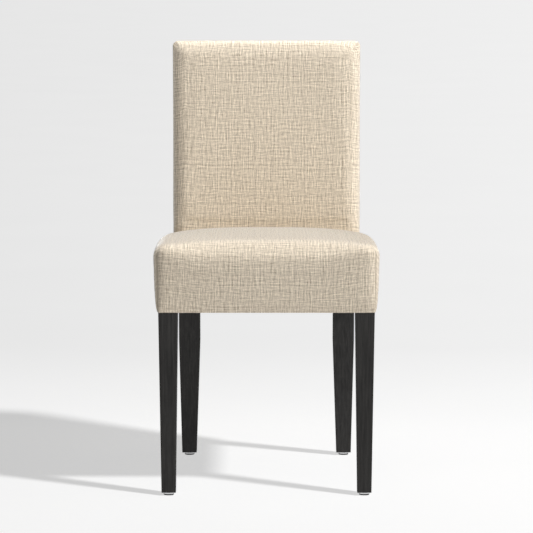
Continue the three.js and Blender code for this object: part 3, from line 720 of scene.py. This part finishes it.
def settled(obj, held, limit):
    """The cover after a short cloth simulation, with its movement kept within the limit."""
    rest = coordinates(obj)
    group = obj.vertex_groups.new(name="held")
    for index in np.flatnonzero(held > 0):
        group.add([int(index)], float(held[index]), "REPLACE")
    cloth = obj.modifiers.new("settle", "CLOTH")
    settings = cloth.settings
    settings.quality = 6
    settings.mass = 0.3
    settings.tension_stiffness = settings.compression_stiffness = 12
    settings.shear_stiffness = 4
    settings.bending_stiffness = 0.4
    settings.use_pressure = True
    settings.uniform_pressure_force = SIM_PRESSURE
    settings.effector_weights.gravity = 0
    settings.vertex_group_mass = "held"
    settings.pin_stiffness = 1
    cloth.collision_settings.use_collision = False
    cloth.point_cache.frame_start = 1
    cloth.point_cache.frame_end = SIM_FRAMES
    for number in range(1, SIM_FRAMES + 1):
        scene.frame_set(number)
    shown = obj.evaluated_get(bpy.context.evaluated_depsgraph_get())
    co = np.empty(len(rest) * 3)
    shown.data.vertices.foreach_get("co", co)
    outwards = normals_of(obj)
    move = co.reshape(-1, 3) - rest
    out = (move * outwards).sum(1, keepdims=True)
    along = move - out * outwards
    size = np.linalg.norm(along, axis=1, keepdims=True)
    out = np.where(out > 0, limit * np.tanh(out / limit), INWARD * np.tanh(out / INWARD))
    along *= limit * np.tanh(size / limit) / np.maximum(size, 1e-9)
    obj.modifiers.remove(cloth)
    obj.vertex_groups.remove(group)
    write_coordinates(obj, rest + out * outwards + along)
    scene.frame_set(1)


def held_low(obj):
    """Where the seat cloth is held: at its hem, at its side edges and against the back."""
    z = coordinates(obj)[:, 2] / MM
    p = on_posts(obj)
    near_back = smooth((p[:, 1] + BACK_PADDING + 16) / 10) * (np.abs(p[:, 0]) < 206)
    side_edge = 0.95 * smooth((np.abs(p[:, 0]) - 182) / 22) * smooth((z - 450) / 30)
    return np.maximum(np.maximum(smooth((BOTTOM + 22 - z) / 20), side_edge), near_back)


def held_back(obj):
    """Where the inside-back cloth is held: behind the seat and at the posts."""
    p = on_posts(obj)
    low = smooth((75 - p[:, 2]) / 25)
    return np.maximum(low, smooth((p[:, 1] - 12) / 12))


def back_edges(obj):
    """Where the filling under the inside back rounds the cloth off: its top and its sides."""
    p = on_posts(obj)
    x = np.abs(p[:, 0])
    top = mix(0.5, 1.0, smooth((x - 140) / 25)) * smooth((p[:, 2] - 385) / 30)
    side = 0.3 * smooth((x - 135) / 20) * smooth((p[:, 2] - 70) / 30)
    return np.maximum(top, side) * smooth((-8 - p[:, 1]) / 8)


settled(seat, held_low(seat), SEAT_OUTWARD)
settled(back, held_back(back), BACK_OUTWARD)
eased(back, back_edges(back), EASE_ROUNDS)


def sewn_in(obj):
    """The corner seams draw the cloth in."""
    mesh = obj.data
    weight = np.empty(len(mesh.vertices))
    mesh.attributes["seam"].data.foreach_get("value", weight)
    write_coordinates(obj, coordinates(obj) - normals_of(obj) * weight[:, None] * SEAM_DEPTH * MM)


for cover in (seat, back):
    sewn_in(cover)
    finer = cover.modifiers.new("finer", "SUBSURF")
    finer.levels = finer.render_levels = 1
    finer.uv_smooth = "PRESERVE_BOUNDARIES"
for cover, thickness in ((seat, CLOTH), (back, CLOTH), (outside, CLOTH), (dust, DUST_THICKNESS)):
    shell = cover.modifiers.new("thickness", "SOLIDIFY")
    shell.thickness = thickness * MM
    shell.offset = -1


# Materials
class Shader:
    """A node material with short names for its nodes."""

    def __init__(self, name, **values):
        self.material = bpy.data.materials.new(name)
        self.material.use_nodes = True
        self.tree = self.material.node_tree
        self.surface = self.tree.nodes["Principled BSDF"]
        for key, value in values.items():
            self.surface.inputs[key.replace("_", " ")].default_value = value

    def add(self, kind, **settings):
        node = self.tree.nodes.new("ShaderNode" + kind)
        for key, value in settings.items():
            setattr(node, key, value)
        return node

    def feed(self, socket, value):
        if isinstance(value, bpy.types.NodeSocket):
            self.tree.links.new(value, socket)
        else:
            socket.default_value = value

    def math(self, operation, a, b=0.5, c=0.5):
        node = self.add("Math", operation=operation)
        for socket, value in zip(node.inputs, (a, b, c)):
            self.feed(socket, value)
        return node.outputs[0]

    def vector(self, x, y, z=0.0):
        node = self.add("CombineXYZ")
        for socket, value in zip(node.inputs, (x, y, z)):
            self.feed(socket, value)
        return node.outputs[0]

    def scaled(self, vector, scale):
        node = self.add("VectorMath", operation="MULTIPLY")
        self.feed(node.inputs[0], vector)
        node.inputs[1].default_value = scale
        return node.outputs[0]

    def noise(self, vector, scale=1.0, detail=2.0, roughness=0.5):
        node = self.add("TexNoise")
        self.feed(node.inputs["Vector"], vector)
        node.inputs["Scale"].default_value = scale
        node.inputs["Detail"].default_value = detail
        node.inputs["Roughness"].default_value = roughness
        return node.outputs[0]

    def random(self, value):
        node = self.add("TexWhiteNoise", noise_dimensions="1D")
        self.feed(node.inputs["W"], value)
        return node.outputs["Value"]

    def between(self, value, low, high, new_low=0.0, new_high=1.0):
        node = self.add("MapRange")
        for socket, number in zip(node.inputs, (value, low, high, new_low, new_high)):
            self.feed(socket, number)
        return node.outputs[0]

    def blend(self, share, a, b):
        node = self.add("Mix", data_type="RGBA")
        for socket, value in zip((node.inputs[0], node.inputs[6], node.inputs[7]), (share, a, b)):
            self.feed(socket, value)
        return node.outputs[2]

    def pick(self, share, a, b):
        node = self.add("Mix", data_type="FLOAT")
        for socket, value in zip((node.inputs[0], node.inputs[2], node.inputs[3]), (share, a, b)):
            self.feed(socket, value)
        return node.outputs[0]

    def bump(self, height, distance, strength=1.0):
        node = self.add("Bump")
        node.inputs["Strength"].default_value = strength
        node.inputs["Distance"].default_value = distance
        self.feed(node.inputs["Height"], height)
        self.feed(self.surface.inputs["Normal"], node.outputs[0])

    def set(self, name, value):
        self.feed(self.surface.inputs[name], value)

    def place(self):
        return self.add("TexCoord").outputs["Object"]

    def split(self, vector):
        node = self.add("SeparateXYZ")
        self.feed(node.inputs[0], vector)
        return node.outputs


def colour(red, green, blue):
    return (red, green, blue, 1.0)


YARN_PITCH = 0.0017
YARN_WANDER = 1.6
LINEN_DARK = colour(0.335, 0.265, 0.19)
LINEN_LIGHT = colour(0.965, 0.858, 0.70)
# The seam colour is painted shade for the grooves along the corner seams.
LINEN_SEAM_SHADE = colour(0.27, 0.22, 0.16)
THREAD_TINT = 0.16
THREAD_SLUB = 0.32
SLUB_RUN = 38.0
WARP_SHARE = 1.15
WEFT_SHARE = 0.85
UPPER_SHARE = 0.3
BOTH_SHARE = 0.85
MEAN_SHADE = 0.56
CROSSING_TINT = 0.10


def linen():
    """Plain weave of uneven yarns: thick and thin threads alternate and swell along their run."""
    s = Shader("linen", Roughness=0.92, Sheen_Weight=1.0, Sheen_Roughness=0.35)
    s.surface.inputs["Specular IOR Level"].default_value = 0.2
    uv = s.add("UVMap", uv_map="Cloth").outputs[0]
    u, v, _ = s.split(uv)
    wander = s.math("MULTIPLY", s.noise(uv, 14.0, 1.0), YARN_WANDER)
    warp = s.math("ADD", s.math("DIVIDE", u, YARN_PITCH), wander)
    weft = s.math("ADD", s.math("DIVIDE", v, YARN_PITCH), s.math("MULTIPLY", wander, 1.1))
    warp_index, weft_index = s.math("FLOOR", warp), s.math("FLOOR", weft)
    warp_shade = thread_shade(s, warp_index, v, 11.0)
    weft_shade = thread_shade(s, weft_index, u, 47.0)
    parity = s.math("PINGPONG", s.math("ADD", warp_index, weft_index), 1.0)
    upper = s.pick(parity, warp_shade, weft_shade)
    warp_part = s.math("MULTIPLY", warp_shade, WARP_SHARE)
    both = s.math("ADD", warp_part, s.math("MULTIPLY", weft_shade, WEFT_SHARE))
    upper_part = s.math("MULTIPLY", upper, UPPER_SHARE)
    shade = s.math("ADD", upper_part, s.math("MULTIPLY", both, BOTH_SHARE))
    shade = s.math("ADD", shade, MEAN_SHADE)
    crossing = s.add("TexWhiteNoise", noise_dimensions="2D")
    s.feed(crossing.inputs["Vector"], s.vector(warp_index, weft_index))
    tint = s.between(crossing.outputs["Value"], 0.0, 1.0, -CROSSING_TINT, CROSSING_TINT)
    shade = s.math("ADD", shade, tint)
    shade = s.math("ADD", shade, s.between(s.noise(uv, 5.0, 2.0), 0.3, 0.7, -0.03, 0.03))
    across = s.math("ABSOLUTE", s.math("SINE", s.math("MULTIPLY", warp, math.pi)))
    down = s.math("ABSOLUTE", s.math("SINE", s.math("MULTIPLY", weft, math.pi)))
    threads = s.math("MULTIPLY", across, down)
    # Painted shade: the colour is a little darker in the gaps between the yarns.
    shade = s.math("ADD", shade, s.between(threads, 0.0, 0.5, -0.08, 0.02))
    base = s.blend(s.between(shade, 0.0, 1.0), LINEN_DARK, LINEN_LIGHT)
    # Painted shade: the cloth is painted darker along the corner seams, as shade in their grooves.
    seam = s.add("Attribute", attribute_name="seam").outputs["Fac"]
    base = s.blend(s.math("MULTIPLY", seam, 0.5), base, LINEN_SEAM_SHADE)
    s.set("Base Color", base)
    height = s.math("ADD", s.math("MULTIPLY", threads, 0.5), s.math("MULTIPLY", both, 0.5))
    s.bump(height, 0.0005, 0.8)
    return s.material


def thread_shade(s, index, along, offset):
    """How much paler or darker a thread is than its neighbours, with slubs along its run."""
    shares = []
    for shift in (0.0, -1.0, -2.0):
        number = s.math("ADD", index, offset + shift)
        row = s.math("MULTIPLY", number, 3.71)
        run = s.vector(row, s.math("MULTIPLY", along, SLUB_RUN), offset)
        slub = s.between(s.noise(run, 1.0, 1.0), 0.32, 0.68, 0.0, THREAD_SLUB)
        shares.append(s.math("ADD", s.math("MULTIPLY", s.random(number), THREAD_TINT), slub))
    beside = s.math("MULTIPLY", s.math("ADD", shares[1], shares[2]), 0.5)
    return s.math("SUBTRACT", shares[0], beside)


def wood(name, dark, light, roughness, scale, gloss=0.5):
    """Wood with its grain and pores drawn out along the piece's height."""
    s = Shader(name)
    s.surface.inputs["Specular IOR Level"].default_value = gloss
    place = s.place()
    grain = s.noise(s.scaled(place, (scale, scale, scale * 0.045)), 1.0, 5.0, 0.65)
    pores = s.noise(s.scaled(place, (scale * 6, scale * 6, scale * 0.2)), 1.0, 2.0)
    broad = s.noise(place, 9.0, 2.0)
    shade = s.math("ADD", s.between(grain, 0.3, 0.7), s.between(broad, 0.3, 0.7, -0.15, 0.15))
    shade = s.math("SUBTRACT", shade, s.between(pores, 0.55, 0.75, 0.0, 0.4))
    s.set("Base Color", s.blend(s.between(shade, 0.0, 1.0), dark, light))
    s.set("Roughness", s.between(grain, 0.3, 0.7, roughness - 0.06, roughness + 0.08))
    s.bump(s.math("SUBTRACT", grain, s.between(pores, 0.55, 0.75, 0.0, 0.5)), 0.0003, 0.35)
    return s.material


def metal(name, base, roughness):
    """Bright metal with fine upright marks."""
    s = Shader(name, Metallic=1.0)
    place = s.place()
    marks = s.noise(s.scaled(place, (900, 900, 120)), 1.0, 3.0)
    darker = colour(*(0.8 * c for c in base[:3]))
    s.set("Base Color", s.blend(s.between(marks, 0.3, 0.7), darker, base))
    s.set("Roughness", s.between(marks, 0.3, 0.7, roughness - 0.08, roughness + 0.1))
    s.bump(marks, 0.00008, 0.4)
    return s.material


def nylon():
    """Dark moulded nylon."""
    s = Shader("glide_nylon")
    marks = s.noise(s.place(), 700.0, 3.0)
    dark, light = colour(0.022, 0.022, 0.024), colour(0.05, 0.05, 0.052)
    s.set("Base Color", s.blend(s.between(marks, 0.35, 0.7), dark, light))
    s.set("Roughness", s.between(marks, 0.3, 0.7, 0.45, 0.65))
    s.bump(marks, 0.0001, 0.4)
    return s.material


def woven(name, dark, light, pitch, uv_name=None):
    """Coarse plain weave: straps and the dust cover."""
    s = Shader(name, Roughness=0.9, Sheen_Weight=0.15)
    source = s.add("UVMap", uv_map=uv_name).outputs[0] if uv_name else s.place()
    x, y, z = s.split(source)
    across = s.math("DIVIDE", x, pitch)
    along = s.math("DIVIDE", y if uv_name else s.math("ADD", y, z), pitch)
    cell = s.math("ADD", s.math("FLOOR", across), s.math("FLOOR", along))
    parity = s.math("PINGPONG", cell, 1.0)
    one = s.math("ABSOLUTE", s.math("SINE", s.math("MULTIPLY", across, math.pi)))
    two = s.math("ABSOLUTE", s.math("SINE", s.math("MULTIPLY", along, math.pi)))
    height = s.split(s.blend(parity, s.vector(one, 0.0, 0.0), s.vector(two, 0.0, 0.0)))[0]
    spots = s.noise(s.place(), 260.0, 3.0)
    # Painted shade: the colour follows the yarns' height, darker where they dip at their edges;
    # the spots are random tone.
    shade = s.math("ADD", s.math("MULTIPLY", height, 0.6), s.between(spots, 0.3, 0.7, 0.0, 0.4))
    s.set("Base Color", s.blend(shade, dark, light))
    s.bump(height, pitch * 0.25, 0.7)
    return s.material


def speckled(name, dark, light, scale, roughness, depth):
    """Small cells or fibres: card and foam."""
    s = Shader(name, Roughness=roughness)
    cells = s.noise(s.place(), scale, 4.0, 0.7)
    broad = s.noise(s.place(), 12.0, 2.0)
    fine = s.between(cells, 0.3, 0.7, 0.0, 0.8)
    shade = s.math("ADD", fine, s.between(broad, 0.3, 0.7, 0.0, 0.2))
    s.set("Base Color", s.blend(shade, dark, light))
    s.bump(cells, depth, 0.6)
    return s.material


STAIN = (colour(0.016, 0.0152, 0.0146), colour(0.042, 0.04, 0.038))
RAW_WOOD = (colour(0.42, 0.28, 0.14), colour(0.66, 0.48, 0.28))
JUTE = (colour(0.16, 0.11, 0.06), colour(0.42, 0.32, 0.2))
CAMBRIC = (colour(0.007, 0.007, 0.007), colour(0.02, 0.02, 0.021))
CARD = (colour(0.25, 0.18, 0.11), colour(0.38, 0.29, 0.19))
FOAM = (colour(0.6, 0.53, 0.33), colour(0.78, 0.72, 0.5))

materials = {
    "linen": linen(),
    "stained_wood": wood("stained_wood", *STAIN, 0.42, 260, 0.2),
    "raw_wood": wood("raw_wood", *RAW_WOOD, 0.6, 200),
    "glide_steel": metal("glide_steel", colour(0.78, 0.78, 0.79), 0.3),
    "screw_steel": metal("screw_steel", colour(0.6, 0.6, 0.6), 0.34),
    "glide_nylon": nylon(),
    "webbing": woven("webbing", *JUTE, 0.0026),
    "dust_cloth": woven("dust_cloth", *CAMBRIC, 0.0009, "Cloth"),
    "card": speckled("card", *CARD, 500.0, 0.85, 0.0002),
    "foam": speckled("foam", *FOAM, 900.0, 0.95, 0.0006),
}


def dressed(obj, material):
    obj.data.materials.clear()
    obj.data.materials.append(material)


WORN_EDGE = 0.0006

for part in frame["record"]["subparts"]:
    dressed(nodes[part["node"]], materials[part["material_slot"]])
pieces = (
    (seat, "linen"),
    (back, "linen"),
    (outside, "linen"),
    (dust, "dust_cloth"),
    (staples, "screw_steel"),
)
for piece, slot in pieces:
    dressed(piece, materials[slot])
    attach(piece, "root")
for name in ("front_leg_right", "front_leg_left", "rear_leg_right", "rear_leg_left"):
    edge = nodes[name].modifiers.new("worn_edges", "BEVEL")
    edge.width = WORN_EDGE
    edge.segments = 2
    edge.limit_method = "ANGLE"

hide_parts("seat_cover", "seat_foam")
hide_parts("inside_back_cover", "back_foam")
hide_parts("outside_back_cover")
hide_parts("dust_cover")

# Floor and light
FLOOR_HALF = 90.0
GLOW_RUN = (0.6, 1.9)
GLOW_NEAR = 0.617
GLOW_FAR = 0.52
GLOW_SIDE = 0.036
WORLD_STRENGTH = 0.85


def make_floor():
    """A plain pale floor whose glow is painted light: it glows a little, less so behind the chair,
    and a little more to the right than to the left.
    """
    mesh = bpy.data.meshes.new("floor")
    h = FLOOR_HALF
    corners = [(-h, -h, 0), (h, -h, 0), (h, h, 0), (-h, h, 0)]
    mesh.from_pydata(corners, [], [(0, 1, 2, 3)])
    obj = bpy.data.objects.new("floor", mesh)
    scene.collection.objects.link(obj)
    s = Shader("floor", Roughness=0.9)
    s.surface.inputs["Specular IOR Level"].default_value = 0.1
    x, y, z = s.split(s.place())
    grain = s.between(s.noise(s.place(), 2.0, 2.0), 0.3, 0.7, 0.0, 1.0)
    s.set("Base Color", s.blend(grain, colour(0.69, 0.69, 0.69), colour(0.71, 0.71, 0.708)))
    # Painted light: the glow fades from near the chair to far behind it and rises from left to
    # right.
    across = s.math("DIVIDE", x, s.math("ADD", s.math("MAXIMUM", y, 0.0), 7.0))
    side = s.between(across, -0.08, 0.08, -GLOW_SIDE, GLOW_SIDE)
    s.set("Emission Strength", s.math("ADD", s.between(y, *GLOW_RUN, GLOW_NEAR, GLOW_FAR), side))
    s.set("Emission Color", colour(1.0, 1.0, 1.0))
    dressed(obj, s.material)
    return obj


def sun(name, direction, strength, angle):
    """A distant light that comes from the direction, as wide as the angle in degrees."""
    data = bpy.data.lights.new(name, "SUN")
    data.energy = strength
    data.angle = math.radians(angle)
    obj = bpy.data.objects.new(name, data)
    scene.collection.objects.link(obj)
    x, y, z = direction
    obj.rotation_euler = (math.atan2(math.hypot(x, y), z), 0, math.atan2(x, -y))
    return obj


def softbox(name, place, target, size, power):
    """A square light at a place that faces the target."""
    data = bpy.data.lights.new(name, "AREA")
    data.energy = power
    data.size = size
    obj = bpy.data.objects.new(name, data)
    scene.collection.objects.link(obj)
    obj.location = place
    obj.rotation_euler = (Vector(target) - Vector(place)).to_track_quat("-Z", "Y").to_euler()
    return obj


chair = bpy.data.collections.new("chair")
for part in [*nodes.values(), *(piece for piece, _ in pieces)]:
    chair.objects.link(part)


def on_chair(light):
    """Keeps a filling light off the floor, which has its own soft glow."""
    light.light_linking.receiver_collection = chair


make_floor()
sun("key_light", (0.60, -0.42, 0.69), 2.1, 5)
on_chair(sun("right_fill", (0.9, -0.15, 0.40), 0.45, 25))
on_chair(sun("top_fill", (0.0, 0.1, 1.0), 1.0, 12))
on_chair(softbox("top_softbox", (0.0, 0.5, 1.9), (0.0, 0.1, 0.6), 1.2, 18))
on_chair(softbox("right_softbox", (1.1, -0.25, 1.0), (0.0, 0.0, 0.6), 0.7, 3.2))
world = bpy.data.worlds.new("studio")
world.use_nodes = True
world.node_tree.nodes["Background"].inputs["Color"].default_value = (1.0, 1.0, 1.0, 1.0)
world.node_tree.nodes["Background"].inputs["Strength"].default_value = WORLD_STRENGTH
# The world is a backdrop for the camera and lights nothing
for ray in ("diffuse", "glossy", "transmission", "scatter"):
    setattr(world.cycles_visibility, ray, False)
scene.world = world
scene.view_settings.view_transform = "Standard"
